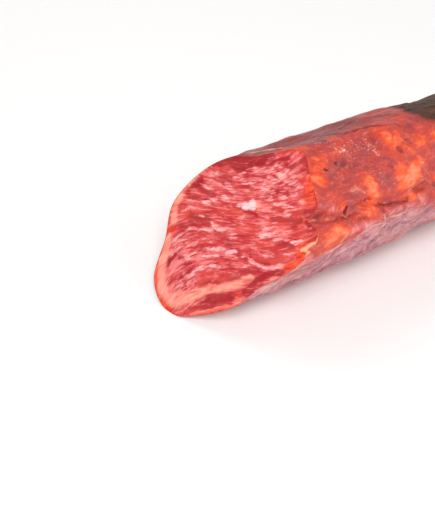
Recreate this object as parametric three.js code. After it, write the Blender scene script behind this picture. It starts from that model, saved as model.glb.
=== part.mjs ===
import * as THREE from 'three';

// A piece of cured pork loin in its natural casing, cut on the slant at one end and
// gathered to a dry pucker at the other. Millimetres. +X runs from the cut end to the
// gathered end, +Z is up, and the piece lies on a narrow flat along its underside.

// Length and section
const loinLength = 266;
const axisHeight = 37;
const taperStart = 95;
const taperEnd = 200;
const taperLoss = 0.085;
const shoulderX = 186;
const bodyEndX = 252;
const shoulderPower = 2.3;

// Section sizes: direction in degrees from +Y towards +Z, and distance from the axis.
// At the cut the section has corners and hollows; further along it is rounder.
const cutSectionSizes = [
  [0, 36.8],
  [24, 37.8],
  [42, 36.6],
  [62, 33.2],
  [92, 37.9],
  [118, 33.4],
  [140, 34.9],
  [163, 38.9],
  [182, 36.5],
  [199, 31.9],
  [222, 34],
  [246, 34.9],
  [268, 37.4],
  [302, 34.9],
  [334, 30.8],
];
const farSectionSizes = [
  [0, 36.2],
  [45, 37],
  [95, 35.4],
  [130, 34.6],
  [165, 36.4],
  [200, 32.2],
  [226, 31.2],
  [250, 35.6],
  [270, 37.7],
  [290, 37.7],
  [314, 35.4],
  [337, 34],
];
const cutShapeReach = 105;

// The cut: how far it leans back for each millimetre up and towards the near side
const cutLean = 0.973;
const cutSkew = 0.358;
const cutBulge = 1.5;
const cutWave = 0.22;
const flapGrooveDepth = 1.3;
const flapGrooveWidth = 2.4;
const flapGrooveLine = [[6, -34], [-5, -28.5], [-22, -16], [-30, -4], [-35, 1]];

// Folds and unevenness of the casing
const creaseDirection = 149;
const creaseDrift = 2;
const creaseTurn = 7;
const creaseDepthAtCut = 4.2;
const creaseDepthAlong = 1.7;
const creaseWidth = 4.6;
const lumpHeight = 0.62;
const furrowHeight = 0.36;
const smoothNearRim = 22;
const swellAt = 92;
const swellLength = 38;
const swellDirection = 220;
const swellSpread = 26;
const swellHeight = 2.6;
const dryLapFrom = 138;
const dryLapLow = 38;
const dryLapHigh = 92;
const dryLapThickness = 1.1;

// Gathered end
const pleatStart = 196;
const pleatDepth = 0.105;
const puckerRadius = 6.2;
const puckerFlare = 2.6;

// Mesh fineness
const around = 90;
const crowding = 0.38;
const crowdedAt = 0.43;
const ringsAlongBody = 31;
const ringsAtShoulder = 11;
const ringsAtPucker = 4;
const ringsOnCut = 11;

const degree = Math.PI / 180;
const { clamp, lerp, smoothstep } = THREE.MathUtils;

function makeRandom(seed) {
  let state = seed;
  return () => {
    state = (state * 1664525 + 1013904223) % 4294967296;
    return state / 4294967296;
  };
}

function makeWaves(seed, count, shortest, longest, mostTurns) {
  const random = makeRandom(seed);
  const waves = [];
  for (let i = 0; i < count; i += 1) {
    const wavelength = lerp(shortest, longest, random());
    waves.push({
      along: (2 * Math.PI) / wavelength,
      turns: Math.round(lerp(1, mostTurns, random())) * (random() < 0.5 ? -1 : 1),
      phase: 2 * Math.PI * random(),
    });
  }
  return waves;
}

const lumps = makeWaves(47, 9, 45, 110, 5);
const furrows = makeWaves(23, 12, 26, 90, 15);
const pleats = makeWaves(37, 5, 160, 400, 17);
const knifeWaves = makeWaves(5, 5, 14, 34, 4);

function waveSum(waves, x, angle) {
  let sum = 0;
  for (const wave of waves) {
    sum += Math.sin(wave.along * x + wave.turns * angle + wave.phase);
  }
  return sum / Math.sqrt(waves.length);
}

// A section as points relative to the axis, crowded together on the side of the fold
function sectionPoints(sizes) {
  const corners = sizes.map(([direction, size]) => new THREE.Vector3(
    0,
    size * Math.cos(direction * degree),
    size * Math.sin(direction * degree),
  ));
  const outline = new THREE.CatmullRomCurve3(corners, true, 'centripetal');
  outline.arcLengthDivisions = 720;
  const points = [];
  for (let i = 0; i < around; i += 1) {
    const even = i / around;
    const shift = (crowding / (2 * Math.PI)) * Math.sin(2 * Math.PI * (even - crowdedAt));
    points.push(outline.getPointAt((even - shift + 1) % 1));
  }
  return points;
}

function angleGap(a, b) {
  const gap = (a - b) % 360;
  return gap > 180 ? gap - 360 : gap < -180 ? gap + 360 : gap;
}

// Share of the full section that is left at x
function bodySize(x) {
  const taper = 1 - taperLoss * smoothstep(x, taperStart, taperEnd);
  const reach = clamp((x - shoulderX) / (bodyEndX - shoulderX), 0, 1);
  return taper * Math.sqrt(1 - reach ** shoulderPower);
}

function axisZ(x) {
  const rise = smoothstep(x, shoulderX, bodyEndX);
  return axisHeight * (1 - taperLoss * smoothstep(x, taperStart, taperEnd)) - 2.5 * rise;
}

// Radius of the twisted, gathered casing at the end
function puckerSize(x) {
  const reach = clamp((x - bodyEndX + 8) / (loinLength - bodyEndX + 8), 0, 1);
  const flare = puckerFlare * smoothstep(reach, 0.45, 0.95);
  return (puckerRadius + flare) * Math.sqrt(1 - reach ** 9);
}

// Lengthwise fold on the near side, where the casing tucks in between two muscles
function creaseRelief(x, direction) {
  const drift = creaseDrift * Math.sin((x - 64) / 20) + creaseTurn * smoothstep(x, 92, 122);
  const depth = lerp(creaseDepthAtCut, creaseDepthAlong, smoothstep(x, 66, 84));
  const fade = 1 - smoothstep(x, 190, 235);
  const apart = angleGap(direction, creaseDirection + drift);
  const gap = apart / (apart < 0 ? creaseWidth * 1.5 : creaseWidth);
  return -depth * fade * Math.exp(-gap * gap);
}

// Fuller place low on the near side
function swellRelief(x, direction) {
  const alongGap = (x - swellAt) / swellLength;
  const turnGap = angleGap(direction, swellDirection) / swellSpread;
  return swellHeight * Math.exp(-alongGap * alongGap - turnGap * turnGap);
}

// Dry outer lap of casing along the top of the far part
function lapRelief(x, direction) {
  const lowSide = smoothstep(direction, dryLapLow - 4, dryLapLow + 2);
  const edge = dryLapHigh - 26 * (1 - smoothstep(x, dryLapFrom, dryLapFrom + 32));
  const highSide = 1 - smoothstep(direction, edge - 3, edge + 3);
  const begin = smoothstep(x, dryLapFrom - 4, dryLapFrom + 4);
  const end = 1 - smoothstep(x, 214, 236);
  return dryLapThickness * lowSide * highSide * begin * end;
}

function casingRelief(x, direction, fromRim) {
  const angle = direction * degree;
  const underside = smoothstep(Math.abs(angleGap(direction, 270)), 14, 55);
  const calm = smoothstep(fromRim, 0, smoothNearRim) * underside;
  const uneven = lumpHeight * waveSum(lumps, x, angle) + furrowHeight * waveSum(furrows, x, angle);
  const shaped = creaseRelief(x, direction) + lapRelief(x, direction);
  return (uneven + swellRelief(x, direction)) * calm + shaped;
}

function pleatFactor(x, angle) {
  const strength = smoothstep(x, pleatStart, bodyEndX - 6);
  return 1 + pleatDepth * strength * waveSum(pleats, x, angle);
}

// Where a point of the outside lies, from its corner of both sections and its place along X
function outsidePoint(cutCorner, farCorner, x, fromRim) {
  const section = cutCorner.clone().lerp(farCorner, smoothstep(fromRim, 0, cutShapeReach));
  const angle = Math.atan2(section.z, section.y);
  const direction = (angle / degree + 360) % 360;
  const size = bodySize(x);
  const flat = Math.hypot(section.y, section.z);
  const body = flat * size + casingRelief(x, direction, fromRim) * Math.min(1, size * 1.3);
  const pucker = x > bodyEndX - 8 ? puckerSize(x) : 0;
  const radius = Math.max(body, pucker) * pleatFactor(x, angle);
  const y = radius * Math.cos(angle);
  const z = axisZ(x) + radius * Math.sin(angle);
  return new THREE.Vector3(x, y, Math.max(z, 0));
}

function cutX(y, z) {
  return cutLean * z - cutSkew * y;
}

function distanceToLine(y, z, line) {
  const point = new THREE.Vector3(y, z, 0);
  const nearest = new THREE.Vector3();
  let best = Infinity;
  for (let i = 0; i + 1 < line.length; i += 1) {
    const start = new THREE.Vector3(line[i][0], line[i][1], 0);
    const end = new THREE.Vector3(line[i + 1][0], line[i + 1][1], 0);
    new THREE.Line3(start, end).closestPointToPoint(point, true, nearest);
    best = Math.min(best, nearest.distanceTo(point));
  }
  return best;
}

// The cut swells a little in the middle, and a groove parts the small lower muscle
function cutRelief(y, z, reach) {
  const inside = 1 - reach ** 4;
  const swell = cutBulge * (1 - reach * reach);
  const knife = cutWave * waveSum(knifeWaves, z + 0.4 * y, 0) * inside;
  const apart = distanceToLine(y, z - axisHeight, flapGrooveLine) / flapGrooveWidth;
  return flapGrooveDepth * Math.exp(-apart * apart) * inside - swell - knife;
}

// Distances along X of the rings: even on the body, closer where it closes
function ringStations() {
  const stations = [];
  for (let i = 0; i < ringsAlongBody; i += 1) {
    stations.push((shoulderX * i) / ringsAlongBody);
  }
  for (let i = 0; i < ringsAtShoulder; i += 1) {
    const turn = (i / ringsAtShoulder) * (Math.PI / 2);
    stations.push(lerp(shoulderX, bodyEndX - 1, Math.sin(turn)));
  }
  for (let i = 0; i <= ringsAtPucker; i += 1) {
    const turn = (i / ringsAtPucker) * (Math.PI / 2);
    stations.push(lerp(bodyEndX, loinLength - 0.5, Math.sin(turn)));
  }
  return stations;
}

function addPoint(positions, point) {
  positions.push(point.x, point.y, point.z);
}

function joinRings(indices, first, second) {
  for (let i = 0; i < around; i += 1) {
    const next = (i + 1) % around;
    indices.push(first + i, second + next, second + i);
    indices.push(first + i, first + next, second + next);
  }
}

function closeRing(indices, ring, centre, facesForward) {
  for (let i = 0; i < around; i += 1) {
    const next = (i + 1) % around;
    if (facesForward) indices.push(ring + i, ring + next, centre);
    else indices.push(ring + i, centre, ring + next);
  }
}

function buildLoinGeometry() {
  const cutSection = sectionPoints(cutSectionSizes);
  const farSection = sectionPoints(farSectionSizes);
  const positions = [];
  const indices = [];
  const rim = [];

  // Outside, from the rim of the cut to the pucker
  const stations = ringStations();
  stations.forEach((station, ring) => {
    for (let i = 0; i < around; i += 1) {
      const corner = cutSection[i];
      const leaning = cutX(corner.y, axisHeight + corner.z);
      const x = station + leaning * (1 - station / loinLength);
      const point = outsidePoint(corner, farSection[i], x, x - leaning);
      if (ring === 0) {
        point.x = cutX(point.y, point.z);
        rim.push(point);
      }
      addPoint(positions, point);
    }
    if (ring > 0) joinRings(indices, ring * around - around, ring * around);
  });
  const lastRing = (stations.length - 1) * around;
  const tip = positions.length / 3;
  addPoint(positions, new THREE.Vector3(loinLength, 0, axisZ(loinLength)));
  closeRing(indices, lastRing, tip, true);

  // Cut face, from the rim to its middle
  let outer = 0;
  for (let ring = 1; ring < ringsOnCut; ring += 1) {
    const reach = 1 - ring / ringsOnCut;
    const inner = positions.length / 3;
    for (const edge of rim) {
      const y = edge.y * reach;
      const z = axisHeight + (edge.z - axisHeight) * reach;
      addPoint(positions, new THREE.Vector3(cutX(y, z) + cutRelief(y, z, reach), y, z));
    }
    joinRings(indices, inner, outer);
    outer = inner;
  }
  const middle = positions.length / 3;
  addPoint(positions, new THREE.Vector3(cutX(0, axisHeight) - cutBulge, 0, axisHeight));
  closeRing(indices, outer, middle, false);

  const geometry = new THREE.BufferGeometry();
  geometry.setAttribute('position', new THREE.Float32BufferAttribute(positions, 3));
  geometry.setIndex(indices);
  geometry.computeBoundingBox();
  const box = geometry.boundingBox;
  const centre = box.getCenter(new THREE.Vector3());
  geometry.translate(-centre.x, -centre.y, -box.min.z);
  geometry.computeVertexNormals();
  return geometry;
}

function loinMaterial() {
  return new THREE.MeshStandardMaterial({ color: 0xb4524a, roughness: 0.45, metalness: 0 });
}

function curedLoin() {
  const mesh = new THREE.Mesh(buildLoinGeometry(), loinMaterial());
  mesh.name = 'cured_loin';
  return mesh;
}

const loin = new THREE.Group();
loin.name = 'cured_pork_loin';
loin.add(curedLoin());

export default loin;
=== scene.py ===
import math

import bpy
import numpy as np
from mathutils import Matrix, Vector, noise
from mathutils.bvhtree import BVHTree


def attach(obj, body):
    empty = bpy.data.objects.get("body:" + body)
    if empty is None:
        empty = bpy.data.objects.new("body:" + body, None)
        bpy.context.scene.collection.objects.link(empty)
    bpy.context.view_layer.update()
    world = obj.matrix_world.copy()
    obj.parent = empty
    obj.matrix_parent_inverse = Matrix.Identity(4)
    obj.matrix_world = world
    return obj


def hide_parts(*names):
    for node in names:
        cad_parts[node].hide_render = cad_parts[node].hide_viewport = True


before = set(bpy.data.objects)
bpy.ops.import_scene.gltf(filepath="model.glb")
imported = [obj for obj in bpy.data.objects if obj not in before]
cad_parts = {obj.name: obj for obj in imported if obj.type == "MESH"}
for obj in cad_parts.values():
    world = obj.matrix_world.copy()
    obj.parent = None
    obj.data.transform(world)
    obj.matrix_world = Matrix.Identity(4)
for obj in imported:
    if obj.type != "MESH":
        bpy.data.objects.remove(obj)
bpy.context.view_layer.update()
mm = 0.001


# the camera stands where the photo was taken from; focalPixels is its lens in photo pixels
photoView = {
    "place": (-252.69, -258.95, 292.35),  # mm
    "azimuth": -29.8,
    "elevation": 42.0,
    "focalPixels": 800.0,
    "photoSize": (435, 520),
    "sensor": 36.0,
    "clip": (0.01, 20),  # m
}

# softboxes: place in m, edge in m, power in W, all aimed at the loin
softboxes = {
    "key_light": {"place": (-0.55, -0.75, 1.25), "edge": 0.9, "power": 18.5},
    "fill_light": {"place": (0.9, -0.7, 0.6), "edge": 1.2, "power": 4.0},
    "back_light": {"place": (0.1, 0.9, 0.9), "edge": 0.9, "power": 4.5},
}
studio = {
    "glow": 0.34,
    "aim": (0, 0, 0.03),
    "floorEdge": 6.0,
    "floorShade": (248, 247, 246),
    "mottle": (225, 223, 220),
    "mottleShare": 0.08,
    "mottleScale": 3.0,
}

azimuth, elevation = math.radians(photoView["azimuth"]), math.radians(photoView["elevation"])
backward = Vector((
    math.sin(azimuth) * math.cos(elevation),
    -math.cos(azimuth) * math.cos(elevation),
    math.sin(elevation),
))
rightward = Vector((math.cos(azimuth), math.sin(azimuth), 0))
upward = rightward.cross(-backward)
cameraPlace = Vector(photoView["place"]) * mm


def deselectAll():
    bpy.ops.object.select_all(action="DESELECT")


def makeCamera():
    deselectAll()
    bpy.ops.object.camera_add(location=cameraPlace)
    photoCamera = bpy.context.object
    photoCamera.name = "photo_camera"
    photoCamera.rotation_mode = "QUATERNION"
    photoCamera.rotation_quaternion = (-backward).to_track_quat("-Z", "Y")
    lens = photoView["focalPixels"] / max(photoView["photoSize"]) * photoView["sensor"]
    photoCamera.data.sensor_width = photoView["sensor"]
    photoCamera.data.lens = lens
    photoCamera.data.clip_start, photoCamera.data.clip_end = photoView["clip"]
    bpy.context.scene.camera = photoCamera


def makeLights():
    for name, box in softboxes.items():
        deselectAll()
        bpy.ops.object.light_add(type="AREA", location=box["place"])
        lamp = bpy.context.object
        lamp.name = name
        lamp.data.size = box["edge"]
        lamp.data.energy = box["power"]
        lamp.rotation_mode = "QUATERNION"
        away = Vector(studio["aim"]) - Vector(box["place"])
        lamp.rotation_quaternion = away.to_track_quat("-Z", "Y")
    world = bpy.data.worlds.new("studio")
    world.use_nodes = True
    glow = world.node_tree.nodes["Background"].inputs
    glow["Color"].default_value = (1, 1, 1, 1)
    glow["Strength"].default_value = studio["glow"]
    bpy.context.scene.world = world
    bpy.context.scene.view_settings.view_transform = "Standard"


def linear(red, green, blue):
    # a screen colour, 0 to 255, as the shader wants it
    parts = [c / 255 for c in (red, green, blue)]
    return tuple(p / 12.92 if p < 0.04 else ((p + 0.055) / 1.055) ** 2.4 for p in parts) + (1.0,)


class Wire:
    # a socket that can be added, subtracted and multiplied in the node tree
    def __init__(self, look, socket):
        self.look, self.socket = look, socket

    def maths(self, operation, *others):
        return self.look.node("ShaderNodeMath", {"operation": operation}, dict(enumerate((self, *others))))

    def __add__(self, other):
        return self.maths("ADD", other)

    def __sub__(self, other):
        return self.maths("SUBTRACT", other)

    def __rsub__(self, other):
        return (self * -1).maths("ADD", other)

    def __mul__(self, other):
        return self.maths("MULTIPLY", other)

    def __abs__(self):
        return self.maths("ABSOLUTE")

    __radd__ = __add__
    __rmul__ = __mul__


class Look:
    # one material and its nodes; colours are given as they show on a screen, 0 to 255
    def __init__(self, name):
        self.material = bpy.data.materials.new(name)
        self.material.use_nodes = True
        self.tree = self.material.node_tree
        self.shader = self.tree.nodes["Principled BSDF"]

    def plug(self, socket, value):
        if isinstance(value, Wire):
            self.tree.links.new(value.socket, socket)
        else:
            socket.default_value = value

    def node(self, kind, settings=None, values=None, out=0):
        made = self.tree.nodes.new(kind)
        for key, value in (settings or {}).items():
            if key == "stops":
                ramp = made.color_ramp
                while len(ramp.elements) < len(value):
                    ramp.elements.new(0.5)
                for stop, (place, *colour) in zip(ramp.elements, value):
                    stop.position, stop.color = place, linear(*colour)
            else:
                setattr(made, key, value)
        for key, value in (values or {}).items():
            self.plug(made.inputs[key], value)
        return Wire(self, made.outputs[out])

    def attribute(self, name, out="Fac"):
        return self.node("ShaderNodeAttribute", {"attribute_name": name}, out=out)

    def place(self):
        return self.node("ShaderNodeTexCoord", out="Object")

    def stretched(self, vector, scale, shift=(0, 0, 0)):
        return self.node("ShaderNodeMapping", None, {"Vector": vector, "Scale": scale, "Location": shift})

    def turned(self, vector, degrees):
        turn = [math.radians(d) for d in degrees]
        return self.node("ShaderNodeMapping", None, {"Vector": vector, "Rotation": turn})

    def vectors(self, operation, values):
        return self.node("ShaderNodeVectorMath", {"operation": operation}, values)

    def bent(self, vector, scale, reach):
        # the vector pushed about by smooth noise, so that what is stretched along it swirls
        noiseValues = {"Vector": vector, "Scale": scale, "Detail": 1.0}
        push = self.node("ShaderNodeTexNoise", None, noiseValues, "Color")
        push = self.vectors("SUBTRACT", {0: push, 1: (0.5, 0.5, 0.5)})
        push = self.vectors("SCALE", {0: push, "Scale": reach})
        return self.vectors("ADD", {0: vector, 1: push})

    def noise(self, vector, scale=1.0, detail=2.0, roughness=0.5, distortion=0.0):
        return self.node("ShaderNodeTexNoise", None, {
            "Vector": vector, "Scale": scale, "Detail": detail,
            "Roughness": roughness, "Distortion": distortion,
        })

    def step(self, value, low, high, bottom=0.0, top=1.0):
        return self.node("ShaderNodeMapRange", {"interpolation_type": "SMOOTHSTEP"}, {
            "Value": value, "From Min": low, "From Max": high, "To Min": bottom, "To Max": top,
        })

    def ramp(self, value, stops):
        # each stop is its place, then its colour
        return self.node("ShaderNodeValToRGB", {"stops": stops}, {"Fac": value}, out="Color")

    def blend(self, factor, under, over, way="MIX"):
        # a Mix node's colours are its sockets 6 and 7, and come out at 2
        settings = {"data_type": "RGBA", "blend_type": way, "clamp_factor": True}
        under, over = (c if isinstance(c, Wire) else linear(*c) for c in (under, over))
        return self.node("ShaderNodeMix", settings, {0: factor, 6: under, 7: over}, out=2)

    def cover(self, tone, amount, low, high, most, over):
        # lays another tone over the first as the amount rises from low to high, at most that strongly
        return self.blend(self.step(amount, low, high) * most, tone, over)

    def bump(self, height, strength, distance):
        values = {"Height": height, "Strength": strength, "Distance": distance}
        return self.node("ShaderNodeBump", None, values)

    def finish(self, **values):
        for name, value in values.items():
            self.plug(self.shader.inputs[name.replace("_", " ")], value)
        return self.material


def makeFloor():
    deselectAll()
    bpy.ops.mesh.primitive_plane_add(size=studio["floorEdge"])
    floor = bpy.context.object
    floor.name = "floor"
    look = Look("pale_floor")
    mottle = look.noise(look.place(), studio["mottleScale"]) * studio["mottleShare"]
    shade = look.blend(mottle, studio["floorShade"], studio["mottle"])
    floor.data.materials.append(look.finish(Base_Color=shade, Roughness=0.8))


makeCamera()
makeLights()
makeFloor()
print("camera, lights and floor placed")


# colours of the cut; where there are several, they are stops of a ramp: place, then colour
cutTones = {
    "lean": ((0.36, 170, 34, 44), (0.46, 200, 56, 60), (0.54, 218, 82, 80), (0.66, 234, 112, 108)),
    "warm": (228, 78, 58),
    # crimson is the meat's own dark red, and also the painted shade along the cut's right rim
    "crimson": (148, 20, 30),
    "wisp": (246, 146, 148),
    "fat": ((0.06, 220, 98, 98), (0.32, 242, 146, 146), (0.62, 255, 200, 204), (0.84, 255, 226, 226)),
    "peach": ((0.38, 240, 120, 104), (0.48, 250, 150, 132), (0.6, 254, 180, 162)),
    "orange": ((0.45, 200, 34, 20), (0.56, 238, 64, 28), (0.7, 252, 112, 60)),
    "cream": (246, 184, 142),
    "edging": (206, 92, 48),
}


def cutLook():
    # reads the painted strokes, and the grain that its noise is stretched along
    look = Look("cut_meat")
    grain = look.attribute("grain", "Vector")
    fat, peach, orange, crimson, cream, veil, warm, edging = (
        look.attribute("cut" + n)
        for n in ("Fat", "Peach", "Orange", "Crimson", "Cream", "Veil", "Warm", "Edging")
    )
    broad = look.noise(look.stretched(grain, (0.035, 0.09, 1)), 1.0, 3, 0.6)
    streak = look.noise(look.stretched(grain, (0.066, 0.25, 1), (3, 7, 2)), 1.0, 2, 0.55, 0.7)
    thin = look.noise(look.stretched(grain, (0.14, 0.56, 1), (9, 1, 5)), 1.0, 2, 0.6, 0.6)
    fine = look.noise(look.place(), 900.0, 3, 0.6)
    fray, wisp = streak - 0.5, thin - 0.5  # rough and fine raggedness, about 0
    rim = wisp * 0.8 + fray * 0.8
    tone = look.ramp(broad * 0.5 + streak * 0.28 + thin * 0.22, cutTones["lean"])
    tone = look.cover(tone, warm + (broad - 0.5) * 1.2, 0.0, 1.1, 0.5, cutTones["warm"])
    tone = look.cover(tone, crimson + wisp * 0.9 + fray * 0.9, 0.05, 0.95, 0.72, cutTones["crimson"])
    wispy = streak * 0.5 + thin * 0.5 + veil * 0.12 - crimson * 0.1
    tone = look.cover(tone, wispy, 0.46, 0.68, 0.7, cutTones["wisp"])
    fatCover = look.step(fat * 1.05 + (fray * 1.1 + wisp * 1.3), 0.15, 1.15)
    fatTone = look.ramp(fat * 0.38 + fray + wisp * 1.1, cutTones["fat"])
    tone = look.blend(fatCover * 0.9, tone, fatTone)
    peachTone = look.ramp(streak * 0.5 + broad * 0.3 + peach * 0.1, cutTones["peach"])
    tone = look.cover(tone, peach + rim, 0.0, 1.0, 0.94, peachTone)
    orangeTone = look.ramp(streak * 0.5 + thin * 0.5 + orange * 0.06, cutTones["orange"])
    # orange and edging give way to crimson, so that the painted shade along the cut's right rim stays dark
    tone = look.cover(tone, orange + rim - crimson * 0.7, 0.0, 1.0, 0.9, orangeTone)
    tone = look.cover(tone, cream + rim * 0.7, 0.1, 0.95, 0.85, cutTones["cream"])
    tone = look.cover(tone, edging + rim * 0.5 - crimson, 0.3, 0.9, 0.7, cutTones["edging"])
    rough = 0.46 - fatCover * 0.1 + (fine - 0.5) * 0.2
    bump = look.bump(streak * 0.5 + thin * 0.8 + fine * 0.4, 0.35, 0.0006)
    return look.finish(
        Base_Color=tone, Roughness=rough, Normal=bump,
        Specular_IOR_Level=0.25, Coat_Weight=0.04, Coat_Roughness=0.22,
    )


skinTones = {
    "body": (
        (0.05, 140, 52, 56), (0.24, 174, 70, 68), (0.42, 198, 72, 62), (0.58, 212, 76, 56),
        (0.72, 240, 88, 46), (0.86, 246, 112, 66), (1.0, 252, 140, 100),
    ),
    "wine": (124, 22, 26),
    "grey": (184, 106, 106),
    "ridge": (128, 40, 38),
    "fibre": (190, 112, 112),
    "under": ((0.38, 134, 78, 94), (0.46, 176, 116, 128), (0.54, 206, 150, 158), (0.64, 230, 184, 190)),
    "underRed": (186, 106, 98),
    "rose": ((0.4, 226, 118, 124), (0.62, 250, 172, 178)),
    "lightNet": (242, 178, 168),
    # painted highlight: the small pale dots strewn over the casing's top
    "darkNet": (100, 34, 44),
    "speck": (244, 200, 190),
    "pale": (222, 174, 156),
    "dark": (62, 34, 38),
    # painted shadow round the edge of the folded patch
    "lapShadow": (122, 34, 28),
    "lap": ((0.36, 24, 14, 12), (0.62, 100, 62, 42)),
}


def skinLook():
    # reads the painted strokes and bands; torn is the noise that makes their edges ragged
    look = Look("casing_skin")
    place = look.place()
    orange, salmon, rose, wine, mauve, pale, dark, speck, under, ridge, lap = (
        look.attribute("skin" + n) for n in (
            "Orange", "Salmon", "Rose", "Wine", "Mauve", "Pale", "Dark", "Speck", "Under", "Ridge", "Lap",
        )
    )
    patch = look.noise(look.stretched(place, (50, 70, 70), (4, 9, 1)), 1.0, 3, 0.55, 0.9)
    slant = look.turned(look.bent(place, 55.0, 0.02), (0, 38, 20))
    blot = look.noise(look.stretched(slant, (110, 230, 230), (7, 3, 6)), 1.0, 3, 0.55, 0.8)
    fibre = look.noise(look.stretched(slant, (120, 700, 700), (2, 5, 8)), 1.0, 3, 0.6, 0.4)
    vein = look.noise(look.stretched(slant, (60, 330, 330), (5, 1, 3)), 1.0, 3, 0.6, 0.9)
    fine = look.noise(look.stretched(place, (700, 1100, 1100)), 1.0, 3, 0.6, 0.5)
    torn = (patch - 0.5) * 0.9 + (blot - 0.5) * 0.9 + (fibre - 0.5) * 0.35
    warmth = 0.41 + torn + orange * 0.33 + salmon * 0.44 - mauve * 0.14 - ridge * 0.16
    tone = look.ramp(warmth, skinTones["body"])
    tone = look.cover(tone, wine + torn * 0.6, 0.1, 1.1, 0.75, skinTones["wine"])
    tone = look.cover(tone, mauve * 0.7 + ridge * 0.06 - torn * 0.8, 0.25, 1.1, 0.5, skinTones["grey"])
    tone = look.cover(tone, ridge - torn * 0.8 - orange * 0.7, 0.1, 0.9, 0.62, skinTones["ridge"])
    tone = look.blend(look.step(fibre, 0.42, 0.6) * 0.28, tone, skinTones["fibre"], "MULTIPLY")
    underTone = look.ramp(fibre * 0.3 + blot * 0.35 + patch * 0.35, skinTones["under"])
    underTone = look.cover(underTone, patch, 0.52, 0.66, 0.5, skinTones["underRed"])
    tone = look.cover(tone, under + torn, 0.15, 1.0, 0.88, underTone)
    tone = look.cover(tone, rose + torn * 0.8, 0.1, 1.05, 0.8, look.ramp(blot, skinTones["rose"]))
    lightNet = look.step(abs(vein - 0.46), 0.0, 0.02, 1.0, 0.0) * look.step(blot, 0.4, 0.56)
    darkNet = look.step(abs(vein - 0.55), 0.0, 0.018, 1.0, 0.0) * look.step(patch, 0.62, 0.44)
    tone = look.blend(lightNet * (0.34 + under * 0.3), tone, skinTones["lightNet"])
    tone = look.blend(darkNet * (0.34 + under * 0.3), tone, skinTones["darkNet"])
    # small pale dots where the glint strokes lie: a painted highlight on the casing's top
    glints = look.step(fine + speck * 0.1, 0.66, 0.72) * (speck + 0.15)
    tone = look.blend(glints * 0.8, tone, skinTones["speck"])
    tone = look.cover(tone, pale + torn * 0.9, 0.15, 1.1, 0.75, skinTones["pale"])
    tone = look.cover(tone, dark + torn * 0.3, 0.2, 0.9, 0.85, skinTones["dark"])
    lapTone = look.ramp(fibre * 0.5 + blot * 0.5, skinTones["lap"])
    # a dark red ring just outside the folded patch's outline: painted shadow of its edge
    tone = look.cover(tone, lap + torn * 0.3, 0.05, 0.55, 0.6, skinTones["lapShadow"])
    tone = look.cover(tone, lap + torn * 0.2, 0.42, 0.68, 1.0, lapTone)
    rough = 0.36 + (blot - 0.5) * 0.4 + under * 0.15 + look.step(lap, 0.4, 0.6) * 0.2
    bump = look.bump(fibre * 0.6 + blot * 0.5 + fine * 0.4, 0.5, 0.0009)
    return look.finish(
        Base_Color=tone, Roughness=rough, Normal=bump,
        Specular_IOR_Level=0.3, Coat_Weight=0.06, Coat_Roughness=0.3,
    )


# the piece: sizes in mm; the cut is the plane x = lean z - skew y + foot
loin = {
    "node": "cured_loin",
    "lean": 0.973,
    "skew": 0.358,
    "foot": -132.13,
    "axisHeight": 37.0,
    "pixel": 0.53,  # across one photo pixel at the cut
    "weld": 1e-6,  # m
    "cutFacing": 0.85,  # the cut's faces look at least this much along its normal
    "facesWithin": 4.5,  # and lie this near its plane
    "paintWithin": 4.0,  # points this near it are painted as meat
    "hitWithin": 3.0,  # a ray that lands this near it has met the cut
    "smoothing": 2,  # subdivision steps over the solid's own faces
    "radialFacing": 0.75,
    "denseMiddle": 7.0,  # the rings of the cut are close enough within this reach of its middle
    "skinStart": 0.3,  # the casing's relief starts this far behind the cut
    "skinFade": 6.0,  # and is full after this much more
    "footing": 0.0004,  # m; relief takes no point below this, or below its own place where that is lower
}
cutFacing = Vector((-1, -loin["skew"], loin["lean"])).normalized()


def footOfCut(place):
    # how far behind the cut plane a point lies along X, in mm
    x, y, z = (place[..., i] / mm for i in range(3))
    return x - loin["lean"] * z + loin["skew"] * y - loin["foot"]


def inEditMode(*steps):
    bpy.ops.object.mode_set(mode="EDIT")
    for operator, settings in steps:
        operator(**settings)
    bpy.ops.object.mode_set(mode="OBJECT")


def rowsOf(items, what):
    # one vector of each point or face, as rows
    found = np.empty(len(items) * 3, np.float32)
    items.foreach_get(what, found)
    return found.reshape(-1, 3).astype(float)


def countsOf(items, what):
    # one whole number of each face or corner
    found = np.empty(len(items), np.int32)
    items.foreach_get(what, found)
    return found


def startPiece():
    # a merged copy of the solid, its cut faces given the second material
    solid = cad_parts[loin["node"]]
    piece = bpy.data.objects.new("loin_piece", solid.data.copy())
    bpy.context.scene.collection.objects.link(piece)
    deselectAll()
    piece.select_set(True)
    bpy.context.view_layer.objects.active = piece
    piece.data.materials.clear()
    for material in (skinLook(), cutLook()):
        piece.data.materials.append(material)
    bpy.ops.mesh.customdata_custom_splitnormals_clear()
    inEditMode(
        (bpy.ops.mesh.select_mode, {"type": "VERT"}),
        (bpy.ops.mesh.select_all, {"action": "SELECT"}),
        (bpy.ops.mesh.remove_doubles, {"threshold": loin["weld"]}),
        (bpy.ops.mesh.tris_convert_to_quads, {"face_threshold": math.pi, "shape_threshold": math.pi}),
        (bpy.ops.mesh.select_all, {"action": "DESELECT"}),
        (bpy.ops.mesh.select_mode, {"type": "FACE"}),
    )
    mesh = piece.data
    facing = rowsOf(mesh.polygons, "normal") @ np.array(cutFacing)
    behind = np.abs(footOfCut(rowsOf(mesh.polygons, "center")))
    isCut = (facing > loin["cutFacing"]) & (behind < loin["facesWithin"])
    mesh.polygons.foreach_set("material_index", isCut.astype(np.int32))
    mesh.polygons.foreach_set("select", isCut)
    mesh.update()
    inEditMode(
        (bpy.ops.mesh.region_to_loop, {}),
        (bpy.ops.transform.edge_crease, {"value": 1.0}),
    )
    smooth = piece.modifiers.new("smooth", "SUBSURF")
    smooth.levels = smooth.render_levels = loin["smoothing"]
    bpy.ops.object.modifier_apply(modifier="smooth")
    print("piece started:", int(isCut.sum()), "cut faces,", len(mesh.vertices), "points")
    return piece


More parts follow.
